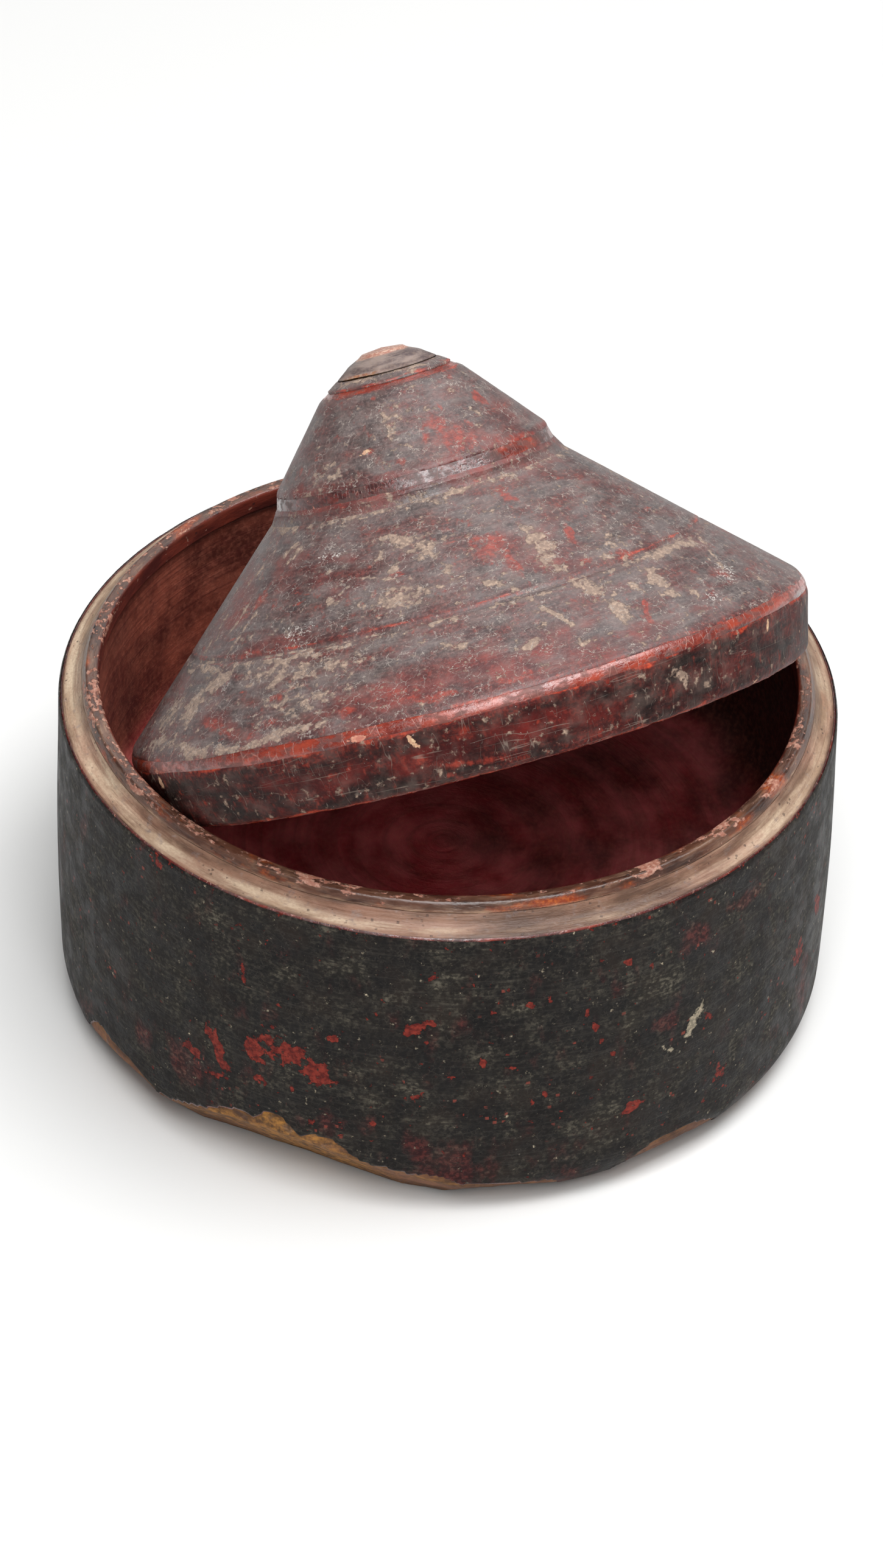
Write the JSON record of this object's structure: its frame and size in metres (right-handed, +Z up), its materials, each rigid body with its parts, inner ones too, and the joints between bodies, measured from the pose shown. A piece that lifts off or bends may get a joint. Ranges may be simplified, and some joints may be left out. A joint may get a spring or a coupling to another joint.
{
  "type": "lacquered turned box",
  "caption": "Turned round wooden box with worn dark and red lac, its loose conical lid lying askew in the mouth.",
  "frame": {"origin": "centre of the foot's underside, on the surface the box stands on", "axes": "+Z up along the box's turning axis; the front is -Y; the lid leans away to the back left"},
  "size_m": [0.2016, 0.2016, 0.1769],
  "materials": {
    "turned_wood": "bare and worn where it shows",
    "red_lac": "natural lac resin, satin, rubbed",
    "dark_lac": "natural lac resin, dull, worn and dusty",
    "inside_lac": "natural lac resin, satin",
    "brown_lac": "natural lac resin, glossy where thick"
  },
  "bodies": {
    "box": {"box_wood": "turned_wood", "box_red_coat": "red_lac", "box_dark_coat": "dark_lac", "box_inside_coat": "inside_lac", "lip_coat": "brown_lac"},
    "lid": {"lid_wood": "turned_wood", "lid_red_coat": "red_lac", "lid_dark_coat": "dark_lac", "lid_inside_coat": "inside_lac", "lid_tip": "turned_wood"}
  },
  "joints": [
    {"name": "lid_lift", "type": "slide", "parent": "box", "child": "lid", "axis": [0, 0, 1], "range_m": [0, 0.08]}
  ]
}
